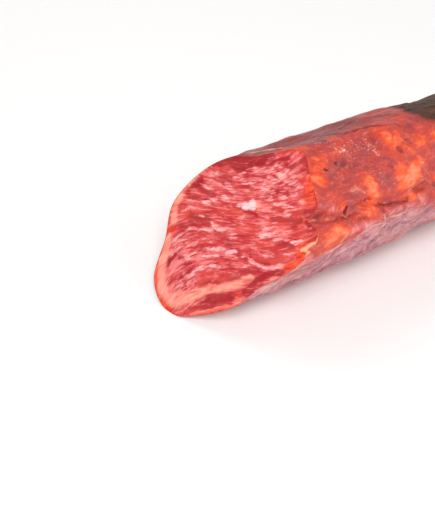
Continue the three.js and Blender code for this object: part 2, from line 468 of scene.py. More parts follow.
def splitCutRings(piece):
    # one more ring between each two on the cut, so its grain has enough points
    mesh = piece.data
    co = rowsOf(mesh.vertices, "co")
    slots = countsOf(mesh.polygons, "material_index")
    cutEdges = {tuple(sorted(k)) for p, s in zip(mesh.polygons, slots) if s for k in p.edge_keys}
    ends = np.array([e.vertices[:] for e in mesh.edges])
    isCut = np.array([tuple(sorted(e)) in cutEdges for e in ends.tolist()])
    cutPoints = np.unique(ends[isCut])
    middle = co[cutPoints].mean(0)[1:]
    along = (co[ends[:, 1]] - co[ends[:, 0]])[:, 1:]
    out = (co[ends[:, 1]] + co[ends[:, 0]])[:, 1:] / 2 - middle
    reach = np.linalg.norm(out, axis=1)
    lengths = np.linalg.norm(along, axis=1) * reach + 1e-12  # never 0
    radial = np.abs((along * out).sum(1)) / lengths > loin["radialFacing"]
    radial &= reach > loin["denseMiddle"] * mm
    inEditMode(
        (bpy.ops.mesh.select_mode, {"type": "EDGE"}),
        (bpy.ops.mesh.select_all, {"action": "DESELECT"}),
    )
    mesh.edges.foreach_set("select", isCut & radial)
    inEditMode((bpy.ops.mesh.subdivide, {"number_cuts": 1}))
    print("cut rings split:", len(mesh.vertices), "points,", len(mesh.polygons), "faces")


loinPiece = startPiece()
splitCutRings(loinPiece)


# strokes drawn on the photo: width in photo pixels, strength, then x and y of each point they pass
cutStrokes = {
    "fat": (
        (3, 0.8, 187, 200, 192, 201, 198, 202, 203, 204), (4.4, 1.1, 203, 204, 206, 203, 210, 203),
        (3, 0.8, 186, 208.5, 190, 207.5, 195, 209), (2.4, 0.6, 178, 214, 182, 212, 186, 210.5),
        (2, 0.8, 199, 215, 203.5, 217), (3.2, 0.7, 200, 183.5, 204, 186, 210, 188, 214, 189),
        (4.2, 0.6, 205, 177, 209, 178, 213, 179), (3.6, 0.9, 189, 229, 194, 227.5, 197, 228.5),
        (3.8, 0.9, 198, 231, 203, 228, 208, 229.5, 213, 230), (4.2, 0.8, 210, 172, 214, 172, 218, 171),
        (3, 0.6, 214, 180, 219, 181.5, 222, 184),
        (2.4, 0.6, 217, 182, 222, 186, 226, 189, 231, 193, 234, 196),
        (4.6, 0.8, 226, 182, 229, 186, 232, 190, 234, 194), (2.6, 0.6, 230, 188, 236, 190),
        (2.4, 0.6, 211, 190, 216, 194, 221, 196), (4.2, 1, 221, 197, 225, 199, 229, 200),
        (1.8, 0.7, 229, 200, 232, 201.5, 236, 202.5), (3.2, 0.8, 211, 199.5, 217, 199),
        (2.2, 0.6, 218, 201, 224, 203), (2.6, 0.7, 211, 206.5, 216, 207), (3, 0.5, 230, 172, 234, 169),
        (3.2, 0.8, 234, 177.5, 239, 175.5, 245, 173.5), (1.8, 0.5, 241, 179, 248, 177.5),
        (3, 0.9, 243, 183.5, 249, 182.5, 255, 182), (2.2, 0.5, 233, 182, 238, 182),
        (2.8, 0.9, 250, 188, 256, 186, 262, 184, 267, 183.5), (2, 0.6, 243, 190, 250, 190, 258, 189.5),
        (2.2, 0.9, 251, 174.5, 256, 172, 260, 169, 265, 167), (3.4, 0.5, 252, 169, 257, 166),
        (2.4, 0.5, 254, 197, 260, 197, 265, 198), (3, 1.2, 237.5, 205.3, 243, 205.3),
        (6, 1.6, 244, 205, 248, 206), (8, 2.1, 250, 205, 254, 205),
        (3.2, 0.9, 258, 211.5, 262, 213.5, 266, 216, 269, 219), (3.4, 0.8, 262, 210.5, 269, 211.5),
        (3, 0.8, 239, 217.5, 244, 216.5), (3.4, 0.5, 241, 221, 242, 226),
        (2, 0.6, 227, 222, 232, 224, 236, 225), (2, 0.6, 256, 224, 264, 222.5),
        (2.2, 0.6, 265, 163.5, 271, 161.5, 275, 159), (1.8, 0.5, 269, 159.5, 274, 156.5),
        (3.4, 0.8, 271, 171, 273, 167.5, 278, 164.5),
        (2.8, 0.8, 260, 172, 266, 171.5, 272, 172, 278, 174), (4.8, 0.95, 278, 174, 283, 177, 288, 181),
        (5.6, 1, 288, 181, 294, 183, 299, 184), (2.4, 0.7, 300, 185.5, 303, 188),
        (3.4, 0.6, 280, 168, 284, 170, 288, 171), (2.8, 0.6, 289, 174, 294, 170, 299, 167.5),
        (2.2, 0.5, 287, 163, 291, 159, 294, 154.5), (2.4, 0.6, 288, 162.5, 295, 161.5, 300, 158.5),
        (3, 0.5, 303, 168, 307, 167.5), (3.4, 0.9, 260, 180, 268, 179.5, 273, 180, 279, 181),
        (2.2, 0.8, 261, 183.5, 268, 183.5, 275, 184, 279, 182.5), (2.2, 0.6, 260, 187, 270, 187),
        (3.2, 0.9, 260, 190.5, 266, 189.5, 273, 191), (2.2, 0.6, 260, 193.5, 268, 193.5, 275, 192.5),
        (3, 0.7, 260, 197.5, 264, 197.5), (4, 1.1, 268, 199, 272, 199),
        (4.4, 0.9, 279, 196, 283, 197, 286, 198), (3, 1.1, 274, 204.5, 280, 204.5, 287, 206, 292, 206.5),
        (2.6, 0.5, 280, 202, 287, 202.5), (3.6, 0.6, 291, 193, 294, 195, 298, 192.5, 303, 190),
        (3, 0.5, 284, 186, 285, 191), (4.8, 0.6, 284, 208, 286, 212, 288, 216),
        (2.8, 0.6, 281, 215.5, 288, 216.5), (2.2, 0.6, 291, 210.5, 297, 210),
        (2.4, 0.6, 271, 223.5, 278, 222.5), (3.6, 1, 264, 230.5, 270, 228.5, 276, 227),
        (2.6, 0.5, 276, 227, 284, 226), (4.2, 1.1, 260, 236, 266, 236, 272, 235, 275, 233),
        (2, 0.5, 266, 241.5, 272, 241.5), (3.2, 0.7, 281, 233, 286, 232.5, 290, 233.5),
        (2.4, 0.5, 299, 226, 302, 229, 306, 229), (2.2, 0.6, 298, 232, 304, 230.5, 311, 227.5),
        (3, 1.2, 274, 240.5, 280, 239.5, 287, 239.5, 293, 242),
        (3.6, 1.1, 293, 242, 297, 243.5, 302, 242), (1.8, 0.8, 263, 255, 269, 254.5, 275, 253.5),
        (1.8, 0.6, 283, 254.5, 290, 254), (3.8, 1.1, 259, 266, 265, 268, 275, 268, 284, 265.5),
        (3, 1, 211, 222.5, 214, 226, 218, 229, 222, 231), (4.2, 1, 219, 229, 223, 229, 227, 228),
        (2.4, 0.8, 226, 231, 230, 232.5, 236, 234.5), (3.4, 0.6, 226, 227, 231, 228),
        (2.4, 0.5, 226, 236, 230, 237, 236, 240), (3.2, 0.7, 203, 239, 208, 241, 212, 244),
        (2, 0.7, 245, 228, 252, 229), (1.8, 0.5, 246, 232.5, 252, 233),
        (2.6, 0.6, 250, 241, 254, 243.5, 257, 244.5),
        (3.4, 1.2, 208, 249.5, 214, 249.3, 220, 248.5, 224.5, 249.5),
        (3.8, 1.1, 227, 253, 230, 252.5, 234, 251, 236, 252),
        (3, 0.9, 202, 256, 207, 255.5, 212, 254.5, 218, 255),
        (3, 1, 201, 268, 206, 266, 211, 265, 215, 265.5), (2.2, 0.7, 215, 267.3, 222, 267),
        (2.2, 0.5, 226, 264, 230, 265.5, 236, 268), (2.2, 0.7, 232, 258.8, 239, 258.5),
        (2.2, 0.6, 241, 254, 244.5, 253.2), (2.2, 0.9, 242, 256.5, 247, 256),
        (3, 1, 248, 256.5, 250, 260, 255, 263.5, 260, 266), (2.4, 0.6, 243, 266, 247, 266, 250, 264.5),
        (2.4, 0.7, 252, 251, 256, 252, 260, 253), (2.2, 0.6, 229, 272, 233, 273, 239, 274),
        (3.4, 0.9, 171, 243, 176, 238, 182, 233, 187, 230.5),
        (3, 0.9, 174, 249, 179, 243, 184, 238.5, 190, 237, 195, 238),
        (2.2, 0.6, 195, 238, 197, 241, 196, 244), (2.6, 0.9, 170, 255, 175, 250, 180, 246),
        (1.8, 0.6, 184, 248.5, 189, 245.5, 193, 243), (2.2, 0.7, 177, 253.5, 184, 250.5, 190, 250),
        (5, 1, 186, 256, 188, 259), (2.2, 0.8, 189, 256, 193, 253, 199, 251.5, 204, 251),
        (2.6, 0.7, 166, 271, 172, 264, 177, 258.5), (2.2, 0.6, 177, 269, 183, 266),
        (3.4, 1.2, 189, 276, 194, 271, 198, 268.5, 203, 267), (1.8, 0.6, 179, 280, 184, 278.5),
        (3, 0.8, 173, 290, 179, 285.5, 184, 283), (3, 0.7, 187, 284.5, 192, 281),
        (3.2, 0.9, 179, 297, 184, 293, 190, 290.5, 197, 289),
    ),
    "peach": (
        (3.5, 0.9, 206, 167.5, 202, 170.5, 195, 176), (6, 1, 196, 176, 189, 183, 181, 191),
        (8, 1, 181, 193, 176, 203, 174, 213, 174, 220), (4, 0.9, 170, 234, 169, 238),
        (8.5, 1, 168, 241, 166, 249, 163, 257, 160, 266), (13, 1, 161, 262, 160, 275, 161, 287, 166, 298),
        (15, 1, 168, 299, 178, 301), (13, 1, 178, 300, 190, 298), (10, 1, 190, 297, 202, 293),
        (7.5, 1, 202, 291, 213, 289, 225, 287), (6.5, 1, 225, 287, 236, 285, 243, 281, 250, 278),
        (2.6, 0.9, 190, 314.5, 202, 312.5, 214, 309.5, 230, 306.5, 240, 302),
        (5, 0.8, 302, 201, 310, 199), (4, 0.5, 292, 177, 298, 176), (5, 0.6, 258, 202, 259, 208),
        (4, 0.5, 276, 229, 279, 234), (5, 0.8, 282, 266, 290, 265, 296, 261),
        (4, 0.9, 281, 279, 271, 281, 268, 286), (3, 0.7, 267, 289, 257, 290.5, 250, 297),
    ),
    "orange": (
        (4.5, 1.1, 167, 231, 172, 230), (2.6, 0.7, 172, 229.5, 177, 229),
        (8, 0.9, 159, 299, 163, 305, 169, 311), (2.6, 0.8, 157.5, 262, 156.5, 275, 156.5, 290, 159, 298),
        (3, 0.5, 268, 154.5, 280, 151.5, 292, 149.8, 301, 151),
        (3.6, 0.7, 300, 151, 306, 156, 309.5, 166), (7, 0.45, 308, 162, 311, 178),
        (5, 0.8, 309, 166, 311, 176, 312, 184), (6, 1.2, 310, 184, 311, 194),
        (8, 0.5, 305, 180, 306, 188, 306, 196), (7, 0.9, 307, 198, 312, 201),
        (4, 0.8, 315, 196, 317, 206, 314, 214), (5, 0.9, 301, 246, 308, 243, 314, 239),
        (5, 1.1, 298, 253, 303, 255), (6, 1, 286, 268, 295, 264, 300, 259),
        (3.5, 0.8, 236, 293, 238, 297), (3, 0.6, 243, 282, 250, 279),
        (2, 0.6, 192, 315, 214, 310, 232, 306),
    ),
    "crimson": (
        (9, 1, 214, 163, 226, 159, 242, 160, 258, 160, 272, 157), (8, 0.8, 232, 165, 244, 168, 252, 166),
        (7, 0.6, 219, 172, 227, 176, 232, 180), (3, 0.7, 237, 172, 244, 171),
        (6, 0.8, 192, 186, 198, 184, 201, 178), (5, 0.8, 200, 189, 206, 193, 214, 196),
        (5, 0.6, 186, 191, 190, 198, 200, 197), (9, 0.6, 190, 217, 198, 220, 208, 221),
        (4, 0.6, 180, 226, 186, 226, 196, 225), (2.4, 0.7, 222, 183, 225, 186, 228, 190),
        (3, 0.6, 233, 206, 240, 208.5), (2, 0.9, 241, 209.5, 247, 212, 254, 212.5, 258, 217),
        (3, 0.6, 240, 187, 248, 186.5), (2.4, 0.5, 244, 194, 252, 192.5),
        (5, 0.8, 286, 165, 292, 167, 297, 165), (3, 0.9, 290, 157, 286, 159, 278, 160),
        (4, 0.8, 300, 162, 304, 159, 306, 156), (6, 0.5, 303, 172, 308, 168, 308, 162),
        (2.4, 0.7, 291, 187.5, 296, 187, 300, 188.5), (2.8, 0.7, 278, 188, 279, 195),
        (2.2, 0.7, 287, 192, 289, 196.5), (2.4, 0.6, 260, 176.5, 266, 177),
        (2.4, 0.8, 273, 175.5, 278, 178), (3, 0.5, 262, 195, 268, 195.5),
        (4, 0.6, 272, 209, 280, 210, 282, 213), (3.4, 0.6, 291, 213, 302, 213),
        (5, 0.7, 272, 219, 282, 220, 290, 218), (5, 0.8, 290, 222, 298, 222, 301, 219),
        (4, 0.6, 292, 228, 297, 228), (7, 1, 306, 214, 312, 214, 316, 210),
        (4, 1.2, 306, 222, 311, 225, 318, 223), (4, 0.8, 309, 232, 315, 229, 318, 226),
        # the next two strokes run along the cut's right rim: painted shade there, dark red
        (3.2, 1.4, 308, 160, 311, 175, 315, 188, 317.5, 198, 317.5, 210),
        (3, 0.8, 317, 194, 318, 204, 316.5, 213), (5, 0.6, 278, 245, 288, 246, 294, 248),
        (3, 0.6, 264, 238.5, 271, 239), (6, 0.4, 262, 261, 272, 261, 282, 259),
        (3, 0.9, 262, 264.5, 269, 264.5), (5, 0.6, 240, 271, 250, 271, 258, 271),
        (3.4, 0.5, 246.5, 259, 246.5, 263.5), (5, 0.5, 216, 234, 224, 237, 232, 244),
        (5, 0.5, 214, 246, 226, 245, 238, 248), (4, 0.6, 238, 251, 240, 256),
        (7, 0.5, 222, 277, 236, 277, 246, 275), (3, 0.7, 183, 241.5, 185, 247),
        (2.4, 0.7, 172.5, 248, 176.5, 246), (2, 0.7, 173, 241, 176, 240),
        (3, 1, 166.5, 266, 170.5, 260, 175, 256, 178, 252.5), (2, 0.7, 166.5, 255.5, 169.5, 251),
        (4, 0.8, 180, 258, 183, 258), (3, 0.6, 191, 247, 197, 246, 203, 247),
        (3, 0.6, 198, 233, 206, 235.5), (5, 0.6, 182, 276, 186, 279, 186, 282),
        (3, 0.7, 186, 272, 191, 269.5, 194, 266), (2.6, 0.8, 173, 294, 177, 290.5, 182, 288),
        (4, 0.8, 189, 294, 194, 293), (6, 0.5, 200, 284, 212, 283, 222, 282),
        (4, 0.8, 309, 243, 316, 237), (3, 0.8, 304, 246, 310, 242.5),
        (4.6, 0.85, 283, 272, 272, 273, 262, 277, 252, 284, 243, 292),
        (8, 0.9, 202, 300, 216, 298, 231, 296), (5, 0.6, 190, 308, 204, 306, 224, 302),
        (4, 0.6, 262, 283, 254, 290, 247, 297),
    ),
    "warm": (
        (16, 0.9, 214, 206, 228, 212, 238, 212), (14, 0.8, 184, 212, 200, 210),
        (20, 0.9, 262, 208, 284, 222, 300, 222), (14, 1, 306, 176, 309, 200, 308, 214),
        (12, 0.7, 246, 226, 262, 244, 276, 248), (14, 0.7, 262, 258, 284, 256),
        (12, 0.6, 188, 246, 204, 262), (12, 0.6, 206, 276, 226, 278),
        (10, 0.7, 171, 222, 176, 210, 186, 196), (10, 0.9, 300, 236, 310, 232),
    ),
    "veil": (
        (20, 0.35, 258, 176, 275, 180, 294, 182), (14, 0.35, 248, 190, 275, 196),
        (14, 0.4, 258, 210, 280, 207), (16, 0.4, 205, 203, 228, 202), (16, 0.9, 172, 244, 188, 240),
        (18, 0.8, 174, 268, 184, 258), (16, 0.8, 172, 290, 186, 280), (12, 0.6, 200, 258, 222, 250),
        (12, 0.5, 262, 232, 286, 232),
    ),
    "cream": (
        (1.5, 0.8, 243, 155, 252, 155.5, 261, 155, 266, 151.5, 274, 151),
        (1.6, 0.9, 309.5, 222, 313, 221, 318, 219.5, 320.5, 224, 321.5, 229, 320, 236),
        (2.4, 0.8, 320, 236, 317, 241.5, 311, 246), (2.8, 1, 315, 243, 306, 248, 302, 250),
        (4, 0.8, 306, 251, 309, 253), (2.4, 0.6, 307.5, 253, 305, 260),
        (2, 0.6, 303, 262, 290, 273.5, 281, 278.5),
    ),
}
casingStrokes = {
    "orange": (
        (11, 0.9, 314, 161, 322, 165), (6, 0.8, 314, 170, 318, 168), (9, 1.1, 315, 178, 324, 184),
        (9, 0.7, 365, 174, 368, 180), (11, 0.95, 369, 182, 374, 190, 376, 197),
        (14, 1, 384, 133, 391, 139, 394, 146), (8, 0.9, 376, 129, 384, 131), (7, 0.9, 397, 137, 401, 143),
        (8, 0.5, 376, 120, 392, 118, 408, 120, 420, 127), (12, 0.8, 415, 137, 424, 141),
        (9, 0.7, 392, 155, 401, 152, 410, 150), (9, 0.75, 402, 166, 398, 172),
        (11, 0.95, 405, 178, 411, 174), (10, 1.1, 403, 186, 412, 180, 418, 175),
        (6.5, 1.1, 413, 193, 413, 199), (9, 0.85, 363, 207, 371, 203), (9, 0.9, 370, 212, 376, 209),
        (6, 0.7, 350, 219, 362, 213), (6, 0.6, 341, 206, 346, 201), (5, 0.5, 331, 193, 337, 197),
        (5, 0.5, 324, 139, 334, 137), (5, 0.5, 382, 168, 390, 170),
        (5, 1.1, 266, 150, 280, 148, 296, 146, 306, 148), (5, 0.9, 258, 292, 270, 286, 280, 279),
    ),
    "salmon": (
        (8, 0.3, 369, 180, 373, 187, 376, 195), (12, 0.3, 409, 168, 407, 179, 403, 186),
        (10, 1.1, 338, 228, 344, 231), (11, 0.9, 333, 239, 339, 234), (8, 0.8, 329, 245, 334, 240),
        (10, 0.9, 412, 167, 418, 163), (5, 0.6, 372, 179, 375, 186), (5, 0.5, 394, 130, 400, 133),
    ),
    "rose": (
        (5, 1, 262, 290, 280, 279, 290, 273), (8, 1.2, 290, 272, 300, 266, 309, 259),
        (5, 1, 309, 262, 322, 256, 333, 250), (5, 0.7, 320, 255, 332, 250, 338, 246),
        (7, 0.4, 352, 232, 362, 226, 374, 222), (8, 0.5, 392, 212, 408, 207, 424, 201),
        (8, 0.35, 350, 202, 354, 210), (8, 0.35, 322, 206, 334, 210),
    ),
    "wine": (
        (4, 1.1, 321, 137, 344, 133, 358, 130, 368, 126, 383, 126),
        (4, 0.8, 336, 124, 352, 119, 372, 113), (5, 0.6, 262, 148, 280, 143, 300, 137),
        (3, 0.6, 383, 126, 396, 124, 404, 128), (9, 0.6, 372, 141, 379, 146),
        (4.5, 1.1, 398, 148, 401, 150), (5, 0.6, 402, 143, 408, 139),
        # the two strokes here run along the crease: painted shade in it
        (3, 0.9, 337, 218, 345, 216.5, 352, 213), (3, 0.9, 380, 203.5, 391, 204, 400, 203, 408, 200),
        (4, 0.6, 412, 191, 417, 189, 424, 188), (4, 0.7, 358, 219, 366, 217),
        (5, 0.6, 322, 203, 328, 207), (5, 0.7, 377, 207, 384, 209), (3, 0.6, 402, 213, 412, 210),
    ),
    "mauve": (
        (11, 0.7, 386, 177, 394, 182, 398, 188), (10, 0.7, 329, 171, 337, 176, 343, 181),
        (6, 0.7, 351, 200, 353, 208), (8, 0.45, 321, 192, 328, 200),
        (10, 0.6, 345, 143, 358, 148, 372, 152), (8, 0.8, 318, 131, 330, 127, 344, 123),
        (7, 0.6, 302, 140, 314, 138, 324, 142), (8, 0.7, 404, 152, 410, 157),
        (8, 0.7, 378, 226, 392, 228, 404, 224), (7, 0.7, 396, 209, 410, 206),
        (5, 0.7, 352, 193, 360, 195), (8, 0.6, 352, 226, 362, 222), (7, 0.7, 378, 212, 392, 214),
    ),
    "pale": (
        (2.4, 0.6, 352, 192, 356, 190.5, 360, 190, 364, 192), (2, 0.5, 355.5, 186.5, 357, 194),
        (8, 0.3, 350, 192, 360, 191), (2.6, 0.5, 335, 176.5, 338, 179), (2, 0.5, 399, 179, 400, 182.5),
        (2, 0.9, 311, 221, 315, 219.5, 319, 219.5), (1.8, 0.5, 319, 219.5, 326, 219, 336.5, 217),
        # the short pale flecks from here to the one at x 408 are painted highlights on the casing's top
        (1.8, 0.9, 338, 147.5, 343, 149, 347, 152), (1.8, 0.8, 363, 140, 366, 139.5),
        (1.6, 0.8, 367, 147, 369, 144.5), (1.6, 0.8, 312, 142.5, 320, 142.8),
        (1.6, 0.6, 300, 145, 303, 144.5), (2, 0.7, 374, 151, 377, 153),
        (1.8, 0.7, 408, 133.5, 410, 134.5), (1.6, 0.6, 378, 200.5, 382, 201),
        (1.6, 0.7, 385, 201.5, 389, 202), (1.6, 0.6, 393, 200.5, 397, 199.5),
        (3.6, 0.6, 411, 189, 417, 184.5, 425, 178.5), (7, 0.35, 419, 197, 425, 196),
        (1.8, 0.9, 365, 203, 367.5, 202.5, 368.5, 199.5), (2, 1.2, 384.6, 213, 385.6, 219),
        (2.2, 1, 355, 239.5, 363, 232, 372, 227.2, 383, 224, 388, 219),
        (2.2, 1, 388, 219, 396, 216, 410, 211, 418, 208, 425, 204),
        (2.2, 1, 322, 258, 333, 251, 340, 242, 347, 233), (1.8, 0.6, 306, 264, 316, 259, 324, 256),
        (4, 0.6, 278, 284, 290, 281, 300, 277), (5.5, 1.1, 263, 290, 270, 287, 276, 282),
        (3, 1, 246, 153.5, 262, 152, 275, 149.5), (2, 1, 243, 304, 252, 297, 262, 290.5),
        (2, 0.8, 277, 281, 290, 273, 302, 264), (1.6, 0.6, 296, 274, 310, 269, 326, 262),
        (1.6, 0.6, 318, 270, 330, 262, 338, 256), (1.6, 0.6, 342, 258, 352, 249, 362, 246),
    ),
    # painted highlights: where the casing's top is strewn with small pale dots
    "speck": (
        (12, 1, 332, 146, 346, 150), (14, 0.7, 345, 147, 362, 142, 376, 152),
        (10, 0.8, 302, 143, 322, 142), (10, 0.5, 384, 176, 398, 182), (8, 0.5, 405, 132, 412, 136),
        (10, 0.4, 322, 190, 332, 200),
    ),
    "dark": (
        (2.6, 1.2, 335.5, 162.5, 336, 165), (2, 1, 324.5, 169.3, 327, 170.2),
        (3.6, 1.2, 346.8, 206.5, 345, 211.5), (2.4, 1.1, 366, 200.8, 367, 200.4),
        # the long stroke here runs along the crease: painted shade in it
        (1.6, 0.6, 388, 158, 391, 158), (1.6, 0.6, 369, 199, 376, 201.5, 391, 203, 404, 200, 411, 194),
        (1.6, 0.6, 321, 262, 332, 257, 342, 250), (1.6, 0.6, 300, 272, 312, 266, 322, 262),
        (1.6, 0.6, 376, 236, 382, 230, 388, 226), (2, 0.5, 327, 132, 340, 129, 352, 122),
        (3, 0.6, 266, 150, 280, 147, 296, 144), (2, 0.6, 396, 108, 410, 107.5, 424, 108.5),
    ),
}
# the crease in the near side, and the seam below which the casing is mauve
casingLines = {
    "crease": (
        311, 221, 322, 219, 334, 218.5, 342, 217, 351, 212, 360, 206.5, 368, 201.5, 380, 201.5, 393, 202,
        402, 199, 411, 191.5, 424, 184,
    ),
    "seam": (
        285, 275.5, 306, 265, 322, 257.5, 336, 250, 346, 244, 357, 238, 370, 228, 383, 223, 396, 216,
        410, 211, 424, 206,
    ),
}


def photoRay(spot):
    # the way from the camera through a point of the photo
    wide, high = photoView["photoSize"]
    across, down = spot[0] - wide / 2, spot[1] - high / 2
    return (-backward + (rightward * across - upward * down) / photoView["focalPixels"]).normalized()


def onPhoto(points):
    # where points of the loin, in m, show in the photo
    wide, high = photoView["photoSize"]
    away = points - np.array(cameraPlace)
    depth = away @ np.array(-backward)
    across = away @ np.array(rightward) / depth * photoView["focalPixels"]
    down = -(away @ np.array(upward)) / depth * photoView["focalPixels"]
    return np.stack([wide / 2 + across, high / 2 + down], 1)


def onCut(spot):
    # the point of the cut's plane seen at a photo point
    way = photoRay(spot)
    plane = Vector((1, loin["skew"], -loin["lean"]))
    reach = (loin["foot"] * mm - cameraPlace.dot(plane)) / way.dot(plane)
    return np.array(cameraPlace + way * reach)


def meshFinder(piece):
    # gives a function that finds the point of the piece seen at a photo point
    corners = [v.co for v in piece.data.vertices]
    tree = BVHTree.FromPolygons(corners, [p.vertices[:] for p in piece.data.polygons])

    def onMesh(spot):
        hit = tree.ray_cast(cameraPlace, photoRay(spot))[0]
        return None if hit is None else np.array(hit)

    return onMesh


def pairs(numbers):
    return np.array(numbers, float).reshape(-1, 2)


def located(spots, locate):
    # the points of the loin seen at photo points, without those that miss it
    return [p for p in map(locate, pairs(spots)) if p is not None]


def smoothstep(values, low, high):
    share = np.clip((values - low) / (high - low), 0, 1)
    return share * share * (3 - 2 * share)


def strokeAmount(points, strokes, locate, inner=0.2, outer=1.9):
    # how strongly each point is covered by the strokes, 0 to 1 or more, fading from inner to outer
    # half widths away from their middle lines
    amount = np.zeros(len(points))
    for width, strength, *spots in strokes:
        line = located(spots, locate)
        half = width / 2 * loin["pixel"] * mm
        for a, b in zip(line, line[1:]):
            run = b - a
            share = np.clip((points - a) @ run / (run @ run), 0, 1)
            gap = np.linalg.norm(points - a - share[:, None] * run, axis=1)
            cover = strength * (1 - smoothstep(gap, half * inner, half * outer))
            amount = np.maximum(amount, cover)
    return amount


feather = {
    "strokes": ("fat", "crimson"),  # of the cut
    "seed": 5,
    "spread": 0.4,  # to each side, as shares of the stroke's width
    "few": 2,  # threads of a thin stroke
    "many": 4,
    "thin": 3.3,  # photo pixels
    "start": (-0.1, 0.3),  # shares of the stroke's length
    "end": (0.7, 1.1),
    "shake": 0.25,  # photo pixels
    "threadWidth": 0.55,
    "threadStrength": (0.7, 1.2),
    "coreWidth": 0.85,
    "coreStrength": 0.95,
}


def feathered(strokes):
    # each stroke as a few thinner ones side by side, so that its edges and ends fray
    draw = np.random.default_rng(feather["seed"])
    frayed = []
    for width, strength, *spots in strokes:
        line = pairs(spots)
        steps = np.hypot(*np.diff(line, axis=0).T)
        passed = np.concatenate([[0], np.cumsum(steps)]) / steps.sum()
        way = line[-1] - line[0]
        side = np.array([-way[1], way[0]]) / np.hypot(*way)
        threads = feather["few"] if width < feather["thin"] else feather["many"]
        for offset in np.linspace(-feather["spread"], feather["spread"], threads):
            ends = [draw.uniform(*feather[end]) for end in ("start", "end")]
            share = np.linspace(*ends, len(line) + 1)
            thread = np.stack([np.interp(share, passed, line[:, k]) for k in range(2)], 1)
            thread += side * offset * width + draw.normal(0, feather["shake"], thread.shape)
            threadStrength = strength * draw.uniform(*feather["threadStrength"])
            frayed.append((width * feather["threadWidth"], threadStrength, *thread.ravel()))
        frayed.append((width * feather["coreWidth"], strength * feather["coreStrength"], *spots))
    return frayed


def turnAround(points):
    # angle of each point about the loin's axis: 0 is +Y, 90 is up, 180 faces the camera
    angle = np.degrees(np.arctan2(points[:, 2] - loin["axisHeight"] * mm, points[:, 1]))
    return angle % 360


def paint(piece, name, amount):
    layer = piece.data.attributes.new(name, "FLOAT", "POINT")
    layer.data.foreach_set("value", amount.astype(np.float32))


# x and y of photo points, with the way the meat's grain runs there, degrees up from the right
grainGuides = (
    (190, 188, -30), (200, 185, -25), (212, 178, -18), (222, 170, 0), (215, 195, -25), (205, 203, -12),
    (225, 200, -20), (190, 198, -5), (185, 212, 12), (175, 225, 20), (200, 215, -8), (220, 222, -5),
    (225, 187, -35), (238, 172, 15), (250, 170, 30), (262, 160, 12), (274, 160, 28), (292, 158, 44),
    (296, 170, 36), (306, 172, 30), (280, 173, 0), (265, 183, 2), (260, 189, 8), (245, 176, 14),
    (240, 192, 4), (276, 186, 0), (300, 190, 14), (281, 198, 0), (276, 205, -4), (255, 205, 0),
    (264, 213, -25), (300, 202, 0), (290, 216, 0), (270, 226, 14), (302, 228, 16), (260, 222, -5),
    (175, 240, 42), (185, 236, 35), (196, 240, 12), (172, 256, 52), (185, 257, 34), (198, 252, 12),
    (215, 250, 0), (231, 252, -4), (205, 267, 18), (195, 272, 32), (226, 268, -7), (178, 286, 45),
    (190, 289, 28), (210, 285, 8), (226, 281, 5), (216, 275, 4), (167, 275, 62), (163, 290, 62),
    (202, 300, 12), (236, 281, 10), (230, 262, -5), (250, 240, -5), (270, 235, 8), (290, 232, 4),
    (300, 236, 14), (285, 245, -6), (265, 255, 2), (285, 255, 0), (250, 250, -10), (276, 266, 2),
    (300, 262, 42), (254, 262, -25), (242, 285, 22), (256, 284, 30), (266, 276, 15), (240, 270, -8),
    (313, 205, 10),
)
# middle and half width in photo pixels; calm holds the higher powers down
grainField = {"middle": (237, 233), "half": 85.0, "degree": 5, "calm": 0.06}


def grainTerms(spots):
    # the products of powers that the two grain coordinates are made of, and their slopes
    x, y = ((spots[:, i] - grainField["middle"][i]) / grainField["half"] for i in range(2))
    top = grainField["degree"] + 1
    powers = [(i, j) for i in range(top) for j in range(top - i) if i + j]
    terms = np.stack([x ** i * y ** j for i, j in powers], 1)
    across = np.stack([i * x ** max(i - 1, 0) * y ** j for i, j in powers], 1)
    down = np.stack([j * x ** i * y ** max(j - 1, 0) for i, j in powers], 1)
    calm = np.array([float(i + j > 1) * (i + j) for i, j in powers]) * grainField["calm"]
    return terms, across, down, np.diag(calm)


def grainPlaces(spots):
    # photo pixels along the grain and across it, so that noise can be stretched along it
    guides = np.array(grainGuides, float)
    ways = np.radians(guides[:, 2])
    across, down, calm = grainTerms(guides)[1:]
    slopes = np.vstack([across, down, calm])
    none = np.zeros(len(calm))
    terms = grainTerms(spots)[0]
    along = np.linalg.lstsq(slopes, np.concatenate([np.cos(ways), -np.sin(ways), none]), rcond=None)[0]
    over = np.linalg.lstsq(slopes, np.concatenate([np.sin(ways), np.cos(ways), none]), rcond=None)[0]
    return np.stack([terms @ along, terms @ over, 0 * spots[:, 0]], 1) * grainField["half"]


def ripple(points, size, seed, detail=2):
    # smooth random heights about 0 over points in m; size is the length of a ripple along each axis, mm
    scaled = points / mm / np.array(size) + seed
    # each octave half as high and half as long as the one before
    return np.array([noise.fractal(p, 1.0, 2.0, detail) for p in scaled.tolist()])


waverings = {  # size and reach in mm; seedStep is between one axis and the next
    "cut": {"size": 3.0, "reach": 0.5, "seed": 2.9},
    "skin": {"size": 5.0, "reach": 1.2, "seed": 8.1},
    "seedStep": 17.3,
}


def wavered(points, size, reach, seed):
    # points pushed about by up to reach mm, so that strokes get a natural outline
    seeds = [seed + waverings["seedStep"] * k for k in range(3)]
    pushes = [ripple(points, (size,) * 3, s, 1) for s in seeds]
    return points + np.stack(pushes, 1) * reach * mm


